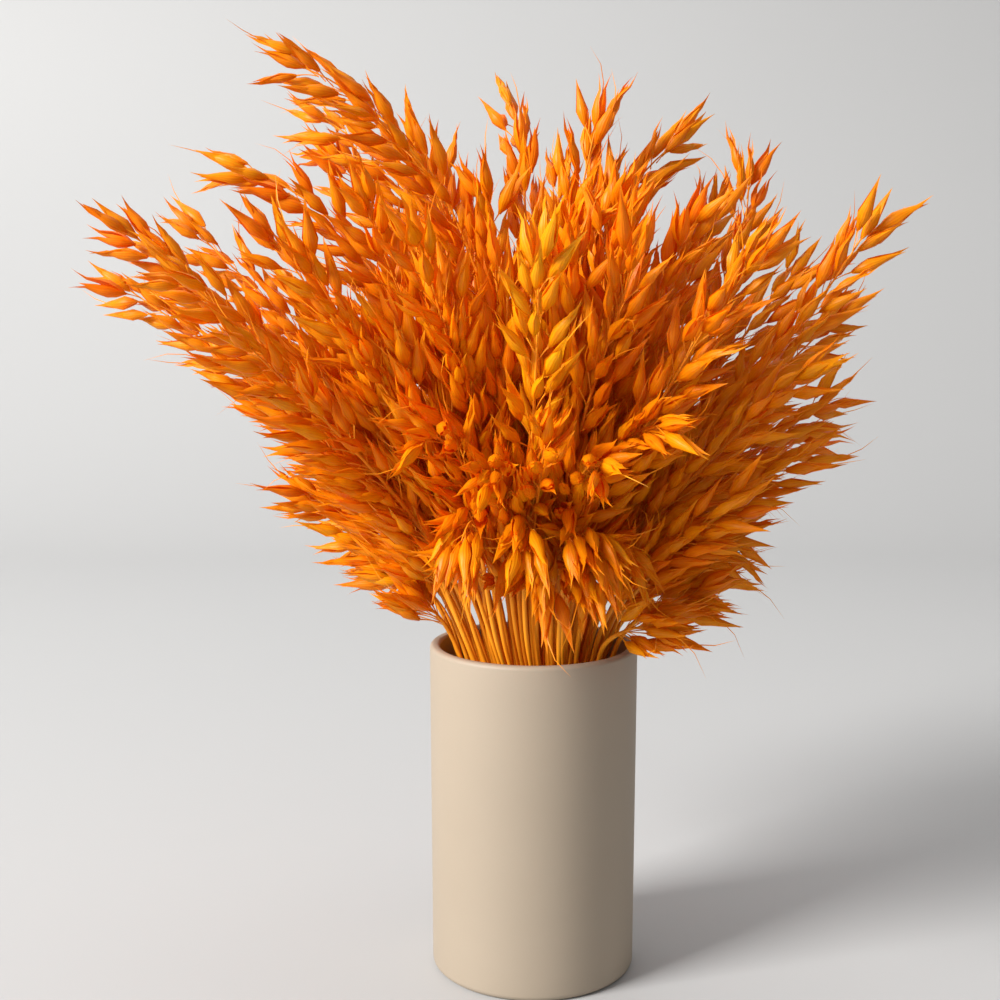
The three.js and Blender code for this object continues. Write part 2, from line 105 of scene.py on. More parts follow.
# A spikelet: two husks that part at their tips
SPIKELET_LENGTH = 28
BELLY_AT = 0.36  # shares of the spikelet's length
CROTCH_AT = 0.58
SHORT_TIP_AT = 0.92
FORK_WIDTH = 8.5
BELLY_BALL = 3.7  # radii of the balls that cover it when its room is tested
HUSK_BALLS = (2.8, 0.4)
ROOT_BALLS_AT = (0.4, 0.6, 0.8)  # places of the balls from the root to the belly
TIP_BALLS_AT = (0.1, 0.35, 0.6, 0.8, 0.95)  # and from the crotch to a tip
STRAW_BALLS = 90
TERMINAL_ROOT = 0.97  # where the last spikelet is rooted, as a share of the panicle
OAT_SEED, SLOT_SEED, TRY_SEED, TERMINAL_SEED = 7919, 104729, 1299709, 15485863
DRAW_TIMES, DRAW_PLUS, DRAW_RANGE = 1664525, 1013904223, 2 ** 32
DRAWS_SKIPPED = 3  # the first draws of near seeds are too much alike

EYE = np.array([-16.0, -703.0, 323.0])  # where the bunch was looked at from when its outline was measured
UP = np.array([0.0, 0.0, 1.0])
LEAST_FLAT = 1e-3  # below this an end counts as upright
STEEP = 0.9  # a spikelet whose direction rises more than this counts as upright
RIM_CENTRE = np.array([0.0, 0.0, VASE_HEIGHT])

# Each panicle's tip: x and z as seen in the upright plane through the vase's axis, then its depth y
# (towards the viewer is negative), and the lean of its last stretch in degrees where it nods
TIPS = [
    # the wing on the left
    (-206, 371, -20),
    (-209, 342, 46),
    (-173, 371, 66),
    (-161, 309, -12),
    (-129, 287, -56),
    (-184, 352, -76),
    (-114, 261, 40),
    (-154, 322, -106),
    # the upper left, whose tallest nod outwards
    (-158, 393, 12, 70),
    (-138, 375, -20),
    (-115, 417, 48, 60),
    (-131, 440, -8, 68),
    (-95, 425, -40, 54),
    (-108, 406, 72, 48),
    (-88, 392, -72),
    (-120, 364, -92),
    # the middle
    (-49, 403, 86),
    (-24, 396, -30),
    (-13, 422, 44, 46),
    (34, 428, -4, 12),
    (29, 380, -52, 44),
    (-60, 374, -104),
    (11, 402, 92),
    # the upper right
    (82, 410, 16, 52),
    (82, 384, -42),
    (91, 384, 30),
    (100, 401, 64, 2),
    (117, 368, -60),
    (134, 354, 50),
    (166, 376, -12, 30),
    (55, 367, -100),
    (97, 341, -104),
    # the right
    (156, 331, 60),
    (145, 308, -54),
    (154, 291, 30),
    (147, 265, -24),
    (116, 241, -62),
    (112, 223, 44),
    # low on the right
    (105, 199, 40),
    (101, 190, -28),
    (75, 174, -60, 70),
    # low on the left
    (-127, 246, 20),
    (-95, 215, 34),
    (-70, 195, -20),
    # those that lean towards the viewer
    (-28, 237, -128, 92),
    (42, 242, -126, 90),
    (-43, 183, -98, 138),
    (35, 180, -100, 134),
    (-65, 263, -112, 80),
    (79, 266, -110, 84),
    (8, 277, -120),
]
BACK_OATS = 8
BACK_SWEEP = math.radians(130)
BACK_LEANS = [math.radians(lean) for lean in (26, 66, 46)]
BACK_REACH = [238, 166, 205]

# Shorter oats inside the bunch, which the solids leave out
FILL_OATS = 34
FILL_SPACING = 5.0  # the least between two straws at the rim, once these are added
FILL_EDGE = 0.8  # how far out they like to stand there, as a share of the reach
FILL_GRID = 1.0  # the step between the places that are tried
FILL_REACH = (125, 245)
FILL_LEANS = (6, 74)
REACH_STEP, LEAN_STEP = 0.382, 0.618  # golden shares, which spread them evenly over both ranges
FILL_NODS_FROM = 56  # those that lean more than this hang down at the end
FILL_NOD = 104
# One tall oat in front, and short ones that hang over the rim, written as the tips above
RIM_TIPS = [
    (2, 374, -116, 12),
    (-12, 172, -86, 142),
    (8, 160, -82, 158),
    (30, 162, -84, 150),
    (-40, 186, -80, 134),
    (52, 176, -72, 140),
    (-2, 190, -104, 122),
    (24, 184, -106, 128),
    (-58, 190, -50, 122),
    (62, 184, 56, 118),
    (-66, 190, 56, 116),
    (8, 176, 100, 130),
]
# Taller ones in and behind the thin places of the bunch
BEHIND_TIPS = [
    (-97, 350, 84),
    (-132, 322, 64),
    (-66, 366, 108),
    (82, 366, 104),
    (128, 322, 92),
    (104, 286, 116),
    (-100, 282, 112),
    (142, 268, 66),
    (-40, 330, -60),
    (50, 330, -50),
]
BRIGHT_OATS = (20, 59)  # those tinted a brighter, yellower tone; the second is the tall one in front
BRIGHT_TINT = 0.3
OAT_TINT = 0.1  # how much the tone varies from oat to oat
SPIKELET_TINT = 0.24  # and from spikelet to spikelet
TINT_SEED = 977


def unit(v):
    return v / np.linalg.norm(v)


def make_draw(seed):
    """A seeded draw between two numbers, the same as the solids' own."""
    state = seed

    def step():
        nonlocal state
        state = (state * DRAW_TIMES + DRAW_PLUS) % DRAW_RANGE
        return state / DRAW_RANGE

    for _ in range(DRAWS_SKIPPED):
        step()
    return lambda low, high: low + (high - low) * step()


# The bunch's curves

def seen_tip(x, z, depth):
    in_plane = np.array([x, 0.0, z])
    return (in_plane - EYE) * (1 + depth / -EYE[1]) + EYE


def back_tip(k):
    azimuth = math.pi / 2 + BACK_SWEEP * ((k + 0.5) / BACK_OATS - 0.5)
    lean = BACK_LEANS[k % len(BACK_LEANS)]
    reach = BACK_REACH[k % len(BACK_REACH)]
    level = math.sin(lean)
    way = np.array([math.cos(azimuth) * level, math.sin(azimuth) * level, math.cos(lean)])
    return way * reach + RIM_CENTRE


def mouth_points(tips):
    """Where each straw passes the rim."""
    points = []
    for tip in tips:
        out = tip - RIM_CENTRE
        lean = math.atan2(math.hypot(out[0], out[1]), out[2])
        radius = MOUTH_REACH * min(1, lean / FULL_LEAN)
        azimuth = math.atan2(out[1], out[0])
        points.append([radius * math.cos(azimuth), radius * math.sin(azimuth)])
    for _ in range(SETTLE_ROUNDS):
        for i in range(len(points)):
            a = points[i]
            for j in range(i + 1, len(points)):
                b = points[j]
                dx, dy = b[0] - a[0], b[1] - a[1]
                gap = math.sqrt(dx * dx + dy * dy)
                if gap < MOUTH_SPACING:
                    share = (MOUTH_SPACING - gap) / (2 * max(gap, LEAST_GAP))
                    a[0] -= dx * share
                    a[1] -= dy * share
                    b[0] += dx * share
                    b[1] += dy * share
        for a in points:
            radius = math.hypot(a[0], a[1])
            if radius > MOUTH_REACH:
                a[0] *= MOUTH_REACH / radius
                a[1] *= MOUTH_REACH / radius
    return [np.array([x, y, VASE_HEIGHT]) for x, y in points]


def fill_tip(k):
    lean = math.radians(FILL_LEANS[0] + (FILL_LEANS[1] - FILL_LEANS[0]) * (k * LEAN_STEP % 1))
    reach = FILL_REACH[0] + (FILL_REACH[1] - FILL_REACH[0]) * (k * REACH_STEP % 1)
    azimuth = k * GOLDEN_ANGLE
    level = math.sin(lean)
    way = np.array([math.cos(azimuth) * level, math.sin(azimuth) * level, math.cos(lean)])
    nod = FILL_NOD if lean > math.radians(FILL_NODS_FROM) else None
    return way * reach + RIM_CENTRE, nod


def free_mouth(tip, mouths):
    """The free place at the rim that is nearest to where the straw would like to pass it."""
    out = unit(tip - RIM_CENTRE)
    liked = RIM_CENTRE + np.array([out[0], out[1], 0]) * MOUTH_REACH * FILL_EDGE
    steps = np.arange(-MOUTH_REACH, MOUTH_REACH, FILL_GRID)
    places = [
        np.array([x, y, VASE_HEIGHT])
        for x in steps for y in steps
        if math.hypot(x, y) < MOUTH_REACH
        and min(math.hypot(x - m[0], y - m[1]) for m in mouths) > FILL_SPACING
    ]
    return min(places, key=lambda place: np.linalg.norm(place - liked))


def foot_point(mouth):
    c, s = math.cos(SPIRAL_TURN), math.sin(SPIRAL_TURN)
    x, y = mouth[0] * FOOT_SPREAD, mouth[1] * FOOT_SPREAD
    return np.array([x * c - y * s, x * s + y * c, VASE_FLOOR + FOOT_GAP])


def weights(t):
    """The shares of a curve's four points at t."""
    t = np.asarray(t, float)
    return np.stack([(1 - t) ** 3, 3 * t * (1 - t) ** 2, 3 * t * t * (1 - t), t ** 3], -1)


class Oat:
    """A straw that stands straight in the vase and bends above its rim, up to its last spikelet."""

    def __init__(self, tip, mouth, nod):
        self.foot = foot_point(mouth)
        start = unit(mouth - self.foot)
        chord = unit(tip - mouth)
        end = self.end_direction(start, chord, nod)
        last = tip - end * TERMINAL_LENGTH
        self.hang = max(0, -end[2])
        handle = np.linalg.norm(last - mouth) * (HANDLE + BOW * self.hang)
        self.curve = np.array([mouth, mouth + start * handle, last - end * handle, last])
        self.spikelets = []

    @staticmethod
    def end_direction(start, chord, nod):
        """Which way the straw's end points: on past its chord, or as it nods."""
        if nod is None:
            return unit(chord + OVERSHOOT * (chord - start))
        lean = math.radians(nod)
        level = math.hypot(chord[0], chord[1])
        return np.array([
            chord[0] / level * math.sin(lean),
            chord[1] / level * math.sin(lean),
            math.cos(lean),
        ])

    def point(self, t):
        return weights(t) @ self.curve

    def tangent(self, t):
        a, b, c, d = self.curve
        return unit((b - a) * (1 - t) ** 2 + (c - b) * 2 * t * (1 - t) + (d - c) * t * t)

    @property
    def length(self):
        return np.linalg.norm(self.curve[3] - self.curve[0])

    @property
    def panicle_start(self):
        return min(LATEST_START, BARE_STRAW / self.length + BARE_SHARE)

    def radius(self, t):
        """The solids' thickness there, with the panicle's core."""
        start = self.panicle_start
        along = (t - start) / (1 - start)
        if along <= 0:
            return STRAW_RADIUS
        swell = min(1, along / CORE_SWELL)
        taper = min(1, (1 - along) / CORE_TAPER)
        return STRAW_RADIUS + (CORE_RADIUS - STRAW_RADIUS) * swell * math.sqrt(taper)

    def spine_point(self, share):
        """The middle of the solids' core at this share of the panicle."""
        following = max(1, next(k for k, ring in enumerate(CORE_SHARES) if ring >= share))
        low, high = CORE_SHARES[following - 1], CORE_SHARES[following]
        at = [self.point(self.start + (1 - self.start) * ring) for ring in (low, high)]
        return at[0] + (at[1] - at[0]) * (share - low) / (high - low)

    def square_to(self, tangent):
        """Two directions square to the straw there, which turn with it as little as they can."""
        end = self.tangent(1)
        flat = np.array([-end[1], end[0], 0.0])
        if np.linalg.norm(flat) < LEAST_FLAT:
            flat = np.array([1.0, 0.0, 0.0])
        across = unit(np.cross(unit(flat), tangent))
        return unit(np.cross(across, tangent)), across


def bend_clear(oats):
    """Bends the curves clear of each other, as the solids are."""
    ts = np.arange(1, BEND_STEPS + 1) / BEND_STEPS
    basis = weights(ts)
    count = len(oats)
    for _ in range(BEND_ROUNDS):
        points = np.array([basis @ oat.curve for oat in oats])
        radii = np.array([[oat.radius(t) for t in ts] for oat in oats])
        for i in range(count - 1):
            others = points[i + 1:]
            apart = np.linalg.norm(points[i][None, :, None] - others[:, None], axis=3)
            lack = radii[i][None, :, None] + radii[i + 1:, None] + BEND_ROOM - apart
            flat = lack.reshape(len(others), -1)
            worst = flat.argmax(1)
            for n in np.nonzero(flat[np.arange(len(others)), worst] > 0)[0]:
                a, b = divmod(int(worst[n]), BEND_STEPS)
                j = i + 1 + n
                way = unit(points[j][b] - points[i][a])
                push = flat[n, worst[n]] / 2
                push_curve(oats[i], basis[a], way, -push)
                push_curve(oats[j], basis[b], way, push)


def push_curve(oat, weight, direction, distance):
    """Moves all the curve's points but the first, by their share at the place that is pushed."""
    total = (weight[1:] ** 2).sum()
    oat.curve[1:] += np.outer(weight[1:] * distance / total / 2, direction)


# Where the spikelets stand

def spikelet_frame(along, roll):
    level = np.array([1.0, 0.0, 0.0]) if abs(along[2]) > STEEP else UP
    first = unit(np.cross(level, along))
    second = np.cross(along, first)
    fork = first * math.cos(roll) + second * math.sin(roll)
    return {"along": along, "fork": fork, "face": np.cross(along, fork)}


def place_spikelet(oat, oat_index, slot, attempt):
    draw = make_draw(oat_index * OAT_SEED + slot * SLOT_SEED + attempt * TRY_SEED)
    place_share = (slot + 0.5) / oat.slots
    share = place_share * (1 - TIP_THINNING + TIP_THINNING * place_share)
    tangent = oat.tangent(oat.start + (1 - oat.start) * share)
    side, across = oat.square_to(tangent)
    azimuth = slot * GOLDEN_ANGLE + oat_index + draw(*AZIMUTH_SPREAD) + attempt * TRY_TURN
    outward = side * math.cos(azimuth) + across * math.sin(azimuth)
    eased = (1 - attempt / (2 * TRIES)) * (1 - TIP_FOLD * share)
    spread = math.radians(draw(*SPREAD)) * eased
    stalk = draw(*STALK) + LOWEST_STALK * (1 - share) * draw(*LOWEST_STALK_VARIES)
    root = oat.spine_point(share)
    base = root + tangent * stalk * math.cos(spread) + outward * stalk * math.sin(spread)
    splay = math.radians(draw(*SPLAY)) * eased
    droop = DROOP + LEVEL_DROOP * math.hypot(tangent[0], tangent[1]) + HANG * oat.hang
    sideways = np.cross(tangent, outward) * draw(*SWAY)
    along = unit(tangent * math.cos(splay) + outward * math.sin(splay) + sideways - UP * droop)
    return {"root": root, "base": base, "stem": tangent, **spikelet_frame(along, draw(0, math.pi)),
            "size": draw(*SIZES)}


def place_terminal(oat, oat_index):
    draw = make_draw(oat_index * OAT_SEED + TERMINAL_SEED)
    along = oat.tangent(1)
    return {"root": oat.spine_point(TERMINAL_ROOT), "base": oat.curve[3].copy(), "stem": along,
            **spikelet_frame(along, draw(0, math.pi)), "size": 1.0}


def spikelet_point(place, along, across):
    return (place["base"] + place["along"] * along * SPIKELET_LENGTH * place["size"]
            + place["fork"] * across * place["size"])


def spikelet_balls(place):
    """Balls that cover the spikelet outside its root: centres and radii."""
    root = place["root"]
    belly = spikelet_point(place, BELLY_AT, 0)
    crotch = spikelet_point(place, CROTCH_AT, 0)
    tips = (spikelet_point(place, 1, -FORK_WIDTH / 2), spikelet_point(place, SHORT_TIP_AT, FORK_WIDTH / 2))
    balls = [(root + (belly - root) * share, BELLY_BALL * share) for share in ROOT_BALLS_AT]
    balls += [(belly, BELLY_BALL), ((belly + crotch) / 2, BELLY_BALL)]
    for tip in tips:
        for share in TIP_BALLS_AT:
            radius = HUSK_BALLS[0] + (HUSK_BALLS[1] - HUSK_BALLS[0]) * share
            balls.append((crotch + (tip - crotch) * share, radius))
    return np.array([b[0] for b in balls]), np.array([b[1] for b in balls])


class Neighbours:
    """The balls that are already taken, in a grid of cells."""
    CELL = 12
    REACH = 9  # no two balls' radii and the clearance add up to more

    def __init__(self):
        self.cells = {}

    def add(self, centres, radii, owner):
        for centre, radius in zip(centres, radii):
            key = tuple((centre // self.CELL).astype(int))
            self.cells.setdefault(key, []).append((*centre, radius, owner))

    def room(self, centres, radii, owner):
        """The least room between these balls and the vase or another oat's."""
        low = ((centres.min(0) - self.REACH) // self.CELL).astype(int)
        high = ((centres.max(0) + self.REACH) // self.CELL).astype(int)
        near = []
        for x in range(low[0], high[0] + 1):
            for y in range(low[1], high[1] + 1):
                for z in range(low[2], high[2] + 1):
                    near += self.cells.get((x, y, z), ())
        least = vase_room(centres, radii)
        if near:
            near = np.array(near)
            near = near[near[:, 4] != owner]
        if len(near):
            apart = np.linalg.norm(centres[:, None] - near[None, :, :3], axis=2)
            least = min(least, (apart - radii[:, None] - near[:, 3]).min())
        return least


def vase_room(centres, radii):
    """The least room between the balls and the vase."""
    outside = np.hypot(centres[:, 0], centres[:, 1]) - VASE_RADIUS
    inside = -outside - VASE_WALL
    return (np.maximum(np.maximum(centres[:, 2] - VASE_HEIGHT, outside), inside) - radii).min()


def take_straws(oats, taken, radius_of):
    ts = np.arange(STRAW_BALLS + 1) / STRAW_BALLS
    for index, oat in enumerate(oats):
        taken.add(oat.point(ts), [radius_of(oat, t) for t in ts], index)


def grow_spikelets(oats, fillers):
    """First the spikelets that the solids have, where they have them, then all the others."""
    taken = Neighbours()
    take_straws(oats, taken, Oat.radius)

    def keep(oat, index, place, others):
        oat.spikelets.append(place)
        balls = spikelet_balls(place)
        for each in others:
            each.add(*balls, index)

    fine = Neighbours()
    take_straws(oats + fillers, fine, lambda oat, t: STRAW_RADIUS)
    for index, oat in enumerate(oats):
        keep(oat, index, place_terminal(oat, index), (taken, fine))
    most = max(oat.slots for oat in oats)
    for slot in range(SLOT_STRIDE - 1, most, SLOT_STRIDE):
        for index, oat in enumerate(oats):
            if slot >= oat.slots:
                continue
            for attempt in range(TRIES):
                place = place_spikelet(oat, index, slot, attempt)
                if taken.room(*spikelet_balls(place), index) > CLEARANCE:
                    keep(oat, index, place, (taken, fine))
                    break
    # the ones in front and at the rim take their room first
    numbered = list(enumerate(oats + fillers))
    rim_end = len(oats) + len(RIM_TIPS)
    order = numbered[len(oats):rim_end] + numbered[:len(oats)] + numbered[rim_end:]
    for slot in range(most):
        for index, oat in order:
            in_solids = slot % SLOT_STRIDE == SLOT_STRIDE - 1 and index < len(oats)
            if slot >= oat.slots or in_solids:
                continue
            for attempt in range(FINE_TRIES):
                place = place_spikelet(oat, index, slot, attempt)
                if fine.room(*spikelet_balls(place), index) > FINE_CLEARANCE:
                    keep(oat, index, place, (fine,))
                    break


def grow_bunch():
    tips = [seen_tip(*tip[:3]) for tip in TIPS] + [back_tip(k) for k in range(BACK_OATS)]
    mouths = mouth_points(tips)
    nods = [tip[3] if len(tip) > 3 else None for tip in TIPS] + [None] * BACK_OATS
    oats = [Oat(tip, mouth, nod) for tip, mouth, nod in zip(tips, mouths, nods)]
    bend_clear(oats)
    fillers = []
    short_oats = [(seen_tip(*tip[:3]), tip[3]) for tip in RIM_TIPS]
    short_oats += [(seen_tip(*tip), None) for tip in BEHIND_TIPS]
    short_oats += [fill_tip(k) for k in range(FILL_OATS)]
    for tip, nod in short_oats:
        mouths.append(free_mouth(tip, mouths))
        fillers.append(Oat(tip, mouths[-1], nod))
    for oat in oats + fillers:
        oat.start = oat.panicle_start
        # halves are rounded up, as in the solids, so that both models have the same places
        oat.slots = math.floor(LEAST_SLOTS + (1 - oat.start) * oat.length / SLOT_SPACING + 0.5)
    grow_spikelets(oats, fillers)
    return oats, fillers


# Meshes of one spikelet, as shares of its length: x across the fork, y across the face, z along it

HUSK_STEPS = 60  # steps in which a husk's middle line is worked out
HUSK_AT = (0, 0.07, 0.19, 0.34, 0.52, 0.71, 0.88)  # its rings, and its tip at 1
HUSK_ACROSS = (-1, -0.55, 0, 0.55, 1)
HUSK_FOOT = 0.18  # its width at the foot, as a share of its greatest width
HUSK_WIDEST = 0.32
HUSK_SWELL = 0.75  # powers that shape its outline below and above its widest place
HUSK_TAPER = (1.25, 1.45)
HUSK_THICKNESS = 0.016
HUSK_THICKNESS_SHARE = 0.6  # and at most this share of its own rounding
HUSK_WRAP = (104, 52)  # degrees that half its width wraps round at its foot, and how much less at its tip
HUSK_KEEL = 0.05  # how far its middle vein stands out
BEAK_FROM = 0.62  # where the round belly passes into the narrow beak
BEAK_SPAN = 0.2  # the share over which the beak turns out again
BEAK_OPENS = 1.25  # and how far it turns, as a share of the belly's bulge
CURL_GAIN = 6

KINDS = 14
KIND_SEED = 4099
OPENINGS = (0, 2, 3, 1, 5, 7, 11)  # degrees that the two husks part
BULGE = (22, 29)
HUSK_WIDTH = (0.11, 0.126)
CURL = (-5, 6)
LOPSIDED = (0.6, 1.4)  # how the parting is shared between the two
SECOND_WIDTH = 0.94  # the second husk is a little smaller
SECOND_LENGTH = (0.88, 0.97)
FLORET_START = 0.04
FLORET_END = (0.66, 0.84)
FLORET_RADIUS = (0.066, 0.08)
FLORET_SIDES = 5
FLORET_RINGS = ((0.02, 0.35), (0.3, 1), (0.62, 0.72))  # place along it, and share of its radius
AWNED_KINDS = (3, 8, 12)
AWN_FROM = 0.45
AWN_LENGTH = (0.8, 1.3)
AWN_ASIDE = (20, 50)
AWN_RINGS = ((0, 0.011), (0.3, 0.01), (0.6, 0.008))  # place along it, and radius
AWN_SIDES = 3


class Shape:
    """Points, faces and, for each point, how far it is along the husk and across it."""

    def __init__(self):
        self.points, self.marks, self.faces = [], [], []

    def add(self, points, marks, faces):
        offset = sum(len(p) for p in self.points)
        self.points.append(np.asarray(points, float))
        self.marks.append(np.asarray(marks, float))
        self.faces += [tuple(offset + k for k in face) for face in faces]

    def done(self):
        return np.concatenate(self.points), np.concatenate(self.marks), self.faces


def loft_faces(rings, sides, tip=False):
    """Quads between rings, a cap at the start, and either a cap or one tip point at the end."""
    faces = [
        (r * sides + k, r * sides + (k + 1) % sides, (r + 1) * sides + (k + 1) % sides, (r + 1) * sides + k)
        for r in range(rings - 1) for k in range(sides)
    ]
    faces.append(tuple(reversed(range(sides))))
    last = (rings - 1) * sides
    if tip:
        faces += [(last + k, last + (k + 1) % sides, last + sides) for k in range(sides)]
    else:
        faces.append(tuple(range(last, last + sides)))
    return faces


def husk_half_width(s, width):
    if s <= HUSK_WIDEST:
        return width * (HUSK_FOOT + (1 - HUSK_FOOT) * (s / HUSK_WIDEST) ** HUSK_SWELL)
    past = (s - HUSK_WIDEST) / (1 - HUSK_WIDEST)
    return width * (1 - past ** HUSK_TAPER[0]) ** HUSK_TAPER[1]


def add_husk(shape, side, opening, bulge, width, length, curl):
    """One boat-shaped husk, on the side +1 or -1 of the fork."""
    s = np.linspace(0, 1, HUSK_STEPS + 1)
    beak = np.maximum(s - BEAK_FROM, 0)
    lean = opening + bulge * np.cos(np.pi * np.minimum(s / BEAK_FROM, 1)) + curl * beak ** 2 * CURL_GAIN
    lean += bulge * BEAK_OPENS * np.minimum(beak / BEAK_SPAN, 1)
    step = length / HUSK_STEPS
    x = np.concatenate([[0], np.cumsum((np.sin(lean[1:]) + np.sin(lean[:-1])) / 2)]) * step
    z = np.concatenate([[0], np.cumsum((np.cos(lean[1:]) + np.cos(lean[:-1])) / 2)]) * step
    points, marks = [], []
    for at in HUSK_AT:
        k = int(round(at * HUSK_STEPS))
        normal = np.array([math.cos(lean[k]), 0, -math.sin(lean[k])])
        rib = np.array([x[k], 0, z[k]])
        wrap = math.radians(HUSK_WRAP[0] - HUSK_WRAP[1] * at)
        radius = husk_half_width(at, width) / math.sin(min(wrap, math.pi / 2))
        for u in HUSK_ACROSS:
            a = u * wrap
            keel = HUSK_KEEL * radius * (u == 0)
            points.append(rib - normal * (radius * (1 - math.cos(a)) - keel) + [0, radius * math.sin(a), 0])
            marks.append((at, u))
        points.append(rib - normal * min(HUSK_THICKNESS, HUSK_THICKNESS_SHARE * radius))
        marks.append((at, 0))
    points.append([x[-1], 0, z[-1]])
    marks.append((1, 0))
    points = np.array(points)
    faces = loft_faces(len(HUSK_AT), len(HUSK_ACROSS) + 1, tip=True)
    if side < 0:
        points[:, 0] *= -1
        faces = [tuple(reversed(face)) for face in faces]
    shape.add(points, marks, faces)


def add_ring(points, marks, centre, radius, sides, mark):
    for k in range(sides):
        a = 2 * math.pi * k / sides
        points.append((centre[0] + radius * math.cos(a), centre[1] + radius * math.sin(a), centre[2]))
        marks.append(mark)


def add_floret(shape, end, radius):
    """The floret between the husks."""
    points, marks = [], []
    for s, share in FLORET_RINGS:
        centre = (0, 0, FLORET_START + (end - FLORET_START) * s)
        add_ring(points, marks, centre, radius * share, FLORET_SIDES, (s, 0.5))
    points.append((0, 0, end))
    marks.append((1, 0.5))
    shape.add(points, marks, loft_faces(len(FLORET_RINGS), FLORET_SIDES, tip=True))


def add_awn(shape, draw):
    """A hair-thin bristle that leaves the floret half way and bends aside, in the pale tone of the tips."""
    aside = math.radians(draw(*AWN_ASIDE))
    azimuth = draw(0, 2 * math.pi)
    length = draw(*AWN_LENGTH)
    points, marks = [], []
    for s, radius in AWN_RINGS:
        lean = aside * s
        centre = (math.sin(lean) * length * s, 0, AWN_FROM + math.cos(lean) * length * s)
        add_ring(points, marks, centre, radius, AWN_SIDES, (1, 0.5))
    points.append((math.sin(aside) * length, 0, AWN_FROM + math.cos(aside) * length))
    marks.append((1, 0.5))
    points = np.array(points)
    c, s = math.cos(azimuth), math.sin(azimuth)
    x, y = points[:, 0].copy(), points[:, 1].copy()
    points[:, 0], points[:, 1] = x * c - y * s, x * s + y * c
    shape.add(points, marks, loft_faces(len(AWN_RINGS), AWN_SIDES, tip=True))


def spikelet_kinds():
    """Shut and parted spikelets, some with an awn."""
    kinds = []
    for k in range(KINDS):
        draw = make_draw(KIND_SEED * (k + 1))
        shape = Shape()
        opening = math.radians(OPENINGS[k % len(OPENINGS)])
        bulge = math.radians(draw(*BULGE))
        width = draw(*HUSK_WIDTH)
        curl = math.radians(draw(*CURL))
        lopsided = draw(*LOPSIDED)
        add_husk(shape, 1, opening * lopsided, bulge, width, 1.0, curl)
        second = draw(*SECOND_LENGTH)
        add_husk(shape, -1, opening * (2 - lopsided), bulge, width * SECOND_WIDTH, second, curl)
        floret_end = draw(*FLORET_END)
        add_floret(shape, floret_end, draw(*FLORET_RADIUS))
        if k in AWNED_KINDS:
            add_awn(shape, draw)
        kinds.append(shape.done())
    return kinds


# One oat's mesh

STRAW_SIDES = 8
STRAW_RINGS = (6, 27)  # below the rim and above it
UPPER_RADIUS = 1.1  # the straw's radius above the rim
END_RADIUS = 0.35  # and at its end
ASIDE = (0.3, 1, 0.1)  # a direction that no straw follows
STALK_SIDES = 3
STALK_RADII = (0.34, 0.28, 0.26, 0.3, 0.5)
STALK_BOW = 0.18  # how far a stalk bows, as a share of its span
STALK_SUNK = 0.5  # how far it runs into the spikelet
OAT_EDGE = math.radians(62)  # faces that meet at more than this keep a sharp edge


def tube(points, radii, sides, first_across):
    """A round stem through the points, closed at both ends."""
    points = np.asarray(points, float)
    ways = np.gradient(points, axis=0)
    ways /= np.linalg.norm(ways, axis=1, keepdims=True)
    rings = []
    across = first_across
    for point, way, radius in zip(points, ways, radii):
        across = unit(across - way * (across @ way))
        other = np.cross(way, across)
        for k in range(sides):
            a = 2 * math.pi * k / sides
            rings.append(point + across * radius * math.cos(a) + other * radius * math.sin(a))
    return np.array(rings), loft_faces(len(points), sides)


def straw_part(oat):
    """The straw from its foot to the panicle's end, which gets thinner along the panicle."""
    lower, upper = STRAW_RINGS
    below = [oat.foot + (oat.curve[0] - oat.foot) * k / lower for k in range(lower)]
    ts = np.linspace(0, 1, upper)
    points = np.concatenate([below, oat.point(ts)])
    radii = [STRAW_RADIUS] * lower
    for t in ts:
        along = max(0, (t - oat.start) / (1 - oat.start))
        radii.append(UPPER_RADIUS + (END_RADIUS - UPPER_RADIUS) * along)
    across = unit(np.cross(points[1] - points[0], ASIDE))
    return tube(points, radii, STRAW_SIDES, across)


def stalk_part(place):
    """The thin stalk from the straw to the spikelet's base."""
    root, base, along = place["root"], place["base"], place["along"]
    span = np.linalg.norm(base - root)
    middle = (root + base) / 2 + (place["stem"] - along) * span * STALK_BOW
    t = np.linspace(0, 1, len(STALK_RADII))[:, None]
    points = (1 - t) ** 2 * root + 2 * t * (1 - t) * middle + t * t * base
    points[-1] += along * STALK_SUNK
    return tube(points, STALK_RADII, STALK_SIDES, place["face"])


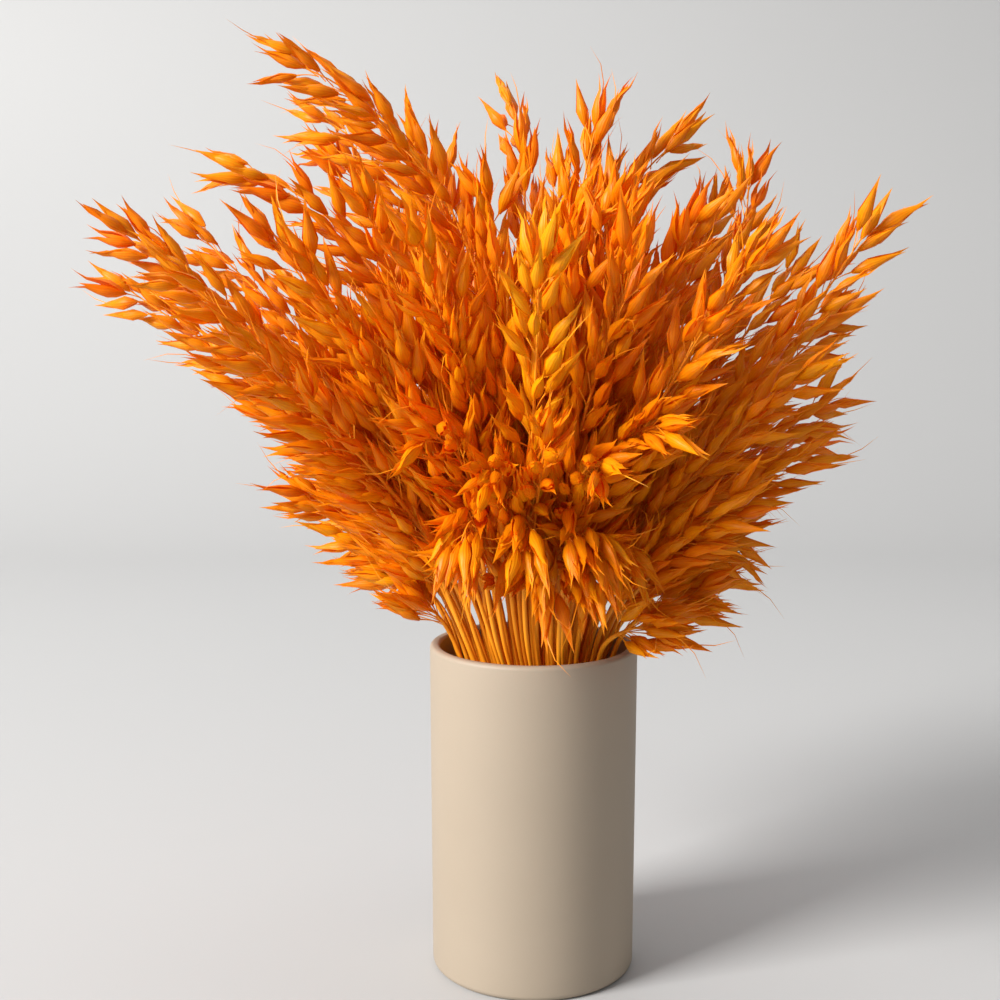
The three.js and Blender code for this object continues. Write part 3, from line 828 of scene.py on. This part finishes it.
def oat_mesh(oat, index, kinds):
    """Husks have the first material, straw and stalks the second."""
    verts, marks, faces, slots = [], [], [], []
    count = 0

    def add(points, mark, polygons, slot):
        nonlocal count
        verts.append(points)
        marks.append(mark)
        faces.extend(tuple(count + k for k in face) for face in polygons)
        slots.extend([slot] * len(polygons))
        count += len(points)

    draw = make_draw(TINT_SEED * (index + 3))
    oat_tint = draw(-OAT_TINT, OAT_TINT) + (BRIGHT_TINT if index in BRIGHT_OATS else 0)
    points, polygons = straw_part(oat)
    add(points, np.full((len(points), 3), (0.5, 0.5, 0.5 + oat_tint)), polygons, 1)
    for place in oat.spikelets:
        tint = min(1, max(0, 0.5 + oat_tint + draw(-SPIKELET_TINT, SPIKELET_TINT)))
        points, polygons = stalk_part(place)
        add(points, np.full((len(points), 3), (0.5, 0.5, tint)), polygons, 1)
        shape, mark, polygons = kinds[int(draw(0, len(kinds)))]
        scale = SPIKELET_LENGTH * place["size"]
        axes = np.array([place["fork"], place["face"], place["along"]])
        points = place["base"] + shape @ axes * scale
        add(points, np.column_stack([mark, np.full(len(mark), tint)]), polygons, 0)
    mesh = bpy.data.meshes.new(f"fine_oat_{index + 1:02d}")
    mesh.from_pydata((np.concatenate(verts) * MM).tolist(), [], faces)
    attribute = mesh.attributes.new("husk", "FLOAT_VECTOR", "POINT")
    attribute.data.foreach_set("vector", np.concatenate(marks).astype(np.float32).ravel())
    mesh.polygons.foreach_set("material_index", slots)
    mesh.shade_smooth()
    mesh.set_sharp_from_angle(angle=OAT_EDGE)
    return mesh


# Materials

HUSK_DEEP = (0.98, 0.23, 0.0006, 1)
HUSK_BRIGHT = (1.0, 0.505, 0.003, 1)
HUSK_VEIN = (0.76, 0.11, 0.001, 1)
HUSK_TIP = (1.0, 0.5, 0.04, 1)
HUSK_LIT_THROUGH = (1.0, 0.50, 0.005, 1)
VEIN_WAVES = 23.0  # radians from a husk's middle to its edge
VEIN_SHARE = 0.26
TIP_SHARE = 0.35
THROUGH_SHARE = 0.36  # of the light that a husk lets through
STRAW_DEEP = (0.70, 0.19, 0.003, 1)
STRAW_BRIGHT = (0.98, 0.40, 0.018, 1)
FIBRE_SCALE = (900.0, 900.0, 70.0)
CLAY_DEEP = (0.352, 0.286, 0.214, 1)
CLAY_BRIGHT = (0.396, 0.324, 0.245, 1)
CLAY_SPECK = (0.33, 0.265, 0.20, 1)
FLOOR_DEEP = (0.468, 0.470, 0.473, 1)
FLOOR_BRIGHT = (0.484, 0.486, 0.489, 1)
BUMP_DEPTH = 0.0002


def new_material(name):
    material = bpy.data.materials.new(name)
    material.use_nodes = True
    tree = material.node_tree
    tree.nodes.clear()
    return material, tree


def node(tree, kind, settings=None, **inputs):
    """A node with its inputs set or linked, by name, or by number after an underscore."""
    made = tree.nodes.new(kind)
    for key, value in (settings or {}).items():
        setattr(made, key, value)
    for key, value in inputs.items():
        socket = made.inputs[int(key[1:])] if key[0] == "_" else made.inputs[key.replace("_", " ")]
        if isinstance(value, bpy.types.NodeSocket):
            tree.links.new(value, socket)
        else:
            socket.default_value = value
    return made


def mixed(tree, factor, a, b):
    """The colour between a and b."""
    made = node(tree, "ShaderNodeMix", {"data_type": "RGBA"}, _0=factor, _6=a, _7=b)
    return made.outputs[2]


def maths(tree, operation, *values):
    made = node(tree, "ShaderNodeMath", {"operation": operation},
                **{f"_{k}": value for k, value in enumerate(values)})
    return made.outputs[0]


def husk_material():
    """Dyed orange, with fine veins, paler at the tips, and thin enough for light to come through."""
    material, tree = new_material("dyed_husk")
    mark = node(tree, "ShaderNodeAttribute", {"attribute_name": "husk"})
    parts = node(tree, "ShaderNodeSeparateXYZ", _0=mark.outputs["Vector"])
    along, across, tint = parts.outputs
    place = node(tree, "ShaderNodeTexCoord").outputs["Object"]
    mottle = node(tree, "ShaderNodeTexNoise", Vector=place, Scale=420.0, Detail=3.0).outputs[0]
    mottled = maths(tree, "MULTIPLY", maths(tree, "SUBTRACT", mottle, 0.5), 0.5)
    dyed = mixed(tree, maths(tree, "ADD", tint, mottled), HUSK_DEEP, HUSK_BRIGHT)
    veins = maths(tree, "SINE", maths(tree, "MULTIPLY", across, VEIN_WAVES))
    veined = maths(tree, "MULTIPLY_ADD", veins, 0.5, 0.5)
    dyed = mixed(tree, maths(tree, "MULTIPLY", veined, VEIN_SHARE), dyed, HUSK_VEIN)
    pale_tip = node(tree, "ShaderNodeMapRange", {"interpolation_type": "SMOOTHSTEP"},
                    Value=along, From_Min=0.8, From_Max=1.0, To_Min=0.0, To_Max=TIP_SHARE).outputs[0]
    dyed = mixed(tree, pale_tip, dyed, HUSK_TIP)
    bump = node(tree, "ShaderNodeBump", Strength=0.4, Distance=0.00018, Height=veined).outputs[0]
    front = node(tree, "ShaderNodeBsdfPrincipled", Base_Color=dyed, Roughness=0.38,
                 Specular_IOR_Level=0.24, Normal=bump)
    lit_through = mixed(tree, 0.35, dyed, HUSK_LIT_THROUGH)
    through = node(tree, "ShaderNodeBsdfTranslucent", Color=lit_through)
    both = node(tree, "ShaderNodeMixShader", _0=THROUGH_SHARE, _1=front.outputs[0], _2=through.outputs[0])
    node(tree, "ShaderNodeOutputMaterial", Surface=both.outputs[0])
    return material


def straw_material():
    """Dyed straw with long fibres."""
    material, tree = new_material("dyed_straw")
    mark = node(tree, "ShaderNodeAttribute", {"attribute_name": "husk"})
    tint = node(tree, "ShaderNodeSeparateXYZ", _0=mark.outputs["Vector"]).outputs[2]
    place = node(tree, "ShaderNodeTexCoord").outputs["Object"]
    stretched = node(tree, "ShaderNodeMapping", Vector=place, Scale=FIBRE_SCALE).outputs[0]
    fibre = node(tree, "ShaderNodeTexNoise", Vector=stretched, Scale=1.0, Detail=4.0).outputs[0]
    tone = maths(tree, "ADD", maths(tree, "MULTIPLY", tint, 0.5), maths(tree, "MULTIPLY", fibre, 0.5))
    colour = mixed(tree, tone, STRAW_DEEP, STRAW_BRIGHT)
    bump = node(tree, "ShaderNodeBump", Strength=0.3, Distance=BUMP_DEPTH, Height=fibre).outputs[0]
    straw = node(tree, "ShaderNodeBsdfPrincipled", Base_Color=colour, Roughness=0.45,
                 Specular_IOR_Level=0.2, Normal=bump)
    node(tree, "ShaderNodeOutputMaterial", Surface=straw.outputs[0])
    return material


def stoneware_material():
    """Matte beige clay, a little clouded, with fine specks."""
    material, tree = new_material("matte_stoneware")
    place = node(tree, "ShaderNodeTexCoord").outputs["Object"]
    broad = node(tree, "ShaderNodeTexNoise", Vector=place, Scale=14.0, Detail=3.0).outputs[0]
    fine = node(tree, "ShaderNodeTexNoise", Vector=place, Scale=900.0, Detail=2.0).outputs[0]
    colour = mixed(tree, broad, CLAY_DEEP, CLAY_BRIGHT)
    colour = mixed(tree, maths(tree, "MULTIPLY", fine, 0.12), colour, CLAY_SPECK)
    rough = node(tree, "ShaderNodeMapRange", Value=broad, To_Min=0.5, To_Max=0.62).outputs[0]
    bump = node(tree, "ShaderNodeBump", Strength=0.12, Distance=BUMP_DEPTH, Height=fine).outputs[0]
    clay = node(tree, "ShaderNodeBsdfPrincipled", Base_Color=colour, Roughness=rough, Normal=bump)
    node(tree, "ShaderNodeOutputMaterial", Surface=clay.outputs[0])
    return material


def floor_material():
    """A plain pale floor and backdrop, very faintly clouded."""
    material, tree = new_material("pale_floor")
    place = node(tree, "ShaderNodeTexCoord").outputs["Object"]
    cloud = node(tree, "ShaderNodeTexNoise", Vector=place, Scale=1.5, Detail=2.0).outputs[0]
    pale = mixed(tree, cloud, FLOOR_DEEP, FLOOR_BRIGHT)
    plain = node(tree, "ShaderNodeBsdfPrincipled", Base_Color=pale, Roughness=0.6)
    node(tree, "ShaderNodeOutputMaterial", Surface=plain.outputs[0])
    return material


# The vase, turned from its half outline

def arc(x, z, radius, start, end, steps):
    return [
        (x + radius * math.cos(math.radians(start + (end - start) * k / steps)),
         z + radius * math.sin(math.radians(start + (end - start) * k / steps)))
        for k in range(steps + 1)
    ]


def vase_outline():
    """From the underside round the foot, up the side, over the lip and down inside to the floor."""
    inner = VASE_RADIUS - VASE_WALL
    lip_height = VASE_HEIGHT - LIP_ROUND
    corners = [(radius, 0.0) for radius in UNDERSIDE_RINGS]
    corners += arc(VASE_FOOT_RADIUS - FOOT_ROUND, FOOT_ROUND, FOOT_ROUND, -90, 0, FOOT_STEPS)
    corners += arc(VASE_RADIUS - LIP_ROUND, lip_height, LIP_ROUND, 0, 90, LIP_STEPS)
    corners += arc(inner + LIP_ROUND, lip_height, LIP_ROUND, 90, 180, LIP_STEPS)[1:]
    corners += arc(inner - INNER_CORNER, VASE_FLOOR + INNER_CORNER, INNER_CORNER, 0, -90, CORNER_STEPS)
    corners += [(UNDERSIDE_RINGS[0], VASE_FLOOR)]
    outline = [corners[0]]
    for (r0, z0), (r1, z1) in zip(corners, corners[1:]):
        parts = max(1, math.ceil(math.hypot(r1 - r0, z1 - z0) / RING_GAP))
        outline += [(r0 + (r1 - r0) * k / parts, z0 + (z1 - z0) * k / parts) for k in range(1, parts + 1)]
    return outline


def vase_mesh():
    outline = vase_outline()
    n = VASE_SEGMENTS
    turns = [(math.cos(2 * math.pi * k / n), math.sin(2 * math.pi * k / n)) for k in range(n)]
    verts = [(0.0, 0.0, 0.0)]
    for radius, height in outline:
        verts += [(radius * x * MM, radius * y * MM, height * MM) for x, y in turns]
    verts.append((0.0, 0.0, VASE_FLOOR * MM))
    faces = [(0, 1 + (k + 1) % n, 1 + k) for k in range(n)]
    for ring in range(len(outline) - 1):
        a = 1 + ring * n
        faces += [(a + k, a + (k + 1) % n, a + n + (k + 1) % n, a + n + k) for k in range(n)]
    last = 1 + (len(outline) - 1) * n
    faces += [(last + k, last + (k + 1) % n, len(verts) - 1) for k in range(n)]
    mesh = bpy.data.meshes.new("fine_vase")
    mesh.from_pydata(verts, [], faces)
    mesh.shade_smooth()
    mesh.set_sharp_from_angle(angle=VASE_EDGE)
    return mesh


def add_piece(name, mesh, materials):
    piece = bpy.data.objects.new(name, mesh)
    bpy.context.scene.collection.objects.link(piece)
    for material in materials:
        piece.data.materials.append(material)
    return piece


def add_vase():
    piece = add_piece("fine_vase", vase_mesh(), [stoneware_material()])
    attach(piece, "root")
    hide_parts("vase")


def add_oats():
    husk, straw = husk_material(), straw_material()
    kinds = spikelet_kinds()
    oats, fillers = grow_bunch()
    for index, oat in enumerate(oats + fillers):
        name = f"oat_{index + 1:02d}"
        piece = add_piece(f"fine_{name}", oat_mesh(oat, index, kinds), [husk, straw])
        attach(piece, "root")
        if oat in oats:
            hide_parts(name)


# The floor, light and camera, in metres

FLOOR_NEAR, FLOOR_FAR = -9.0, 1.15
BACKDROP_BEND = 0.9
BACKDROP_TOP = 4.0
BACKDROP_PARTS = 24
HALF_WIDTH = 9.0
LIGHTS_AIM = (0.0, 0.0, 0.25)
WORLD_COLOUR = (1.0, 0.99, 0.98, 1)
WORLD_STRENGTH = 0.385
DEEP_BOUNCES = 8  # light that goes deep into the bunch comes out redder
CAMERA_PLACE = (-0.0162, -0.703, 0.3235)
CAMERA_TILT = math.radians(90 - 7.63)
SENSOR_WIDTH = 36.0  # millimetres
FOCAL_SHARE = 1.487  # the focal length, as a share of the sensor's width


def add_floor():
    """A floor that curves up into a backdrop."""
    outline = [(FLOOR_NEAR, 0.0), (FLOOR_FAR, 0.0)]
    outline += [
        (FLOOR_FAR + BACKDROP_BEND * math.sin(a), BACKDROP_BEND - BACKDROP_BEND * math.cos(a))
        for a in (math.radians(90 * k / BACKDROP_PARTS) for k in range(1, BACKDROP_PARTS + 1))
    ]
    outline.append((FLOOR_FAR + BACKDROP_BEND, BACKDROP_TOP))
    verts = [(x, y, z) for y, z in outline for x in (-HALF_WIDTH, HALF_WIDTH)]
    faces = [(2 * k, 2 * k + 1, 2 * k + 3, 2 * k + 2) for k in range(len(outline) - 1)]
    mesh = bpy.data.meshes.new("floor")
    mesh.from_pydata(verts, [], faces)
    mesh.shade_smooth()
    add_piece("floor", mesh, [floor_material()])


def add_light(name, place, size, power, colour):
    """A square lamp that faces the bunch."""
    light = bpy.data.lights.new(name, "AREA")
    light.shape = "SQUARE"
    light.size = size
    light.energy = power
    light.color = colour
    lamp = bpy.data.objects.new(name, light)
    lamp.location = place
    aim = Vector(LIGHTS_AIM) - Vector(place)
    lamp.rotation_euler = aim.to_track_quat("-Z", "Y").to_euler()
    bpy.context.scene.collection.objects.link(lamp)


def add_lights():
    add_light("key", (-3.0, -1.8, 2.25), 1.5, 286, (1.0, 0.985, 0.96))
    add_light("top", (0.1, 0.7, 2.2), 1.8, 14, (1.0, 0.99, 0.98))
    scene = bpy.context.scene
    world = bpy.data.worlds.new("studio")
    world.use_nodes = True
    background = world.node_tree.nodes["Background"]
    background.inputs["Color"].default_value = WORLD_COLOUR
    background.inputs["Strength"].default_value = WORLD_STRENGTH
    scene.world = world
    scene.view_settings.view_transform = "Standard"
    scene.cycles.diffuse_bounces = DEEP_BOUNCES
    scene.cycles.transmission_bounces = DEEP_BOUNCES


def add_camera():
    camera = bpy.data.cameras.new("camera")
    camera.sensor_width = SENSOR_WIDTH
    camera.lens = SENSOR_WIDTH * FOCAL_SHARE
    camera.clip_start, camera.clip_end = 0.05, 20.0
    eye = bpy.data.objects.new("camera", camera)
    eye.location = CAMERA_PLACE
    eye.rotation_euler = (CAMERA_TILT, 0.0, 0.0)
    bpy.context.scene.collection.objects.link(eye)
    bpy.context.scene.camera = eye


add_camera()
add_vase()
add_oats()
add_floor()
add_lights()
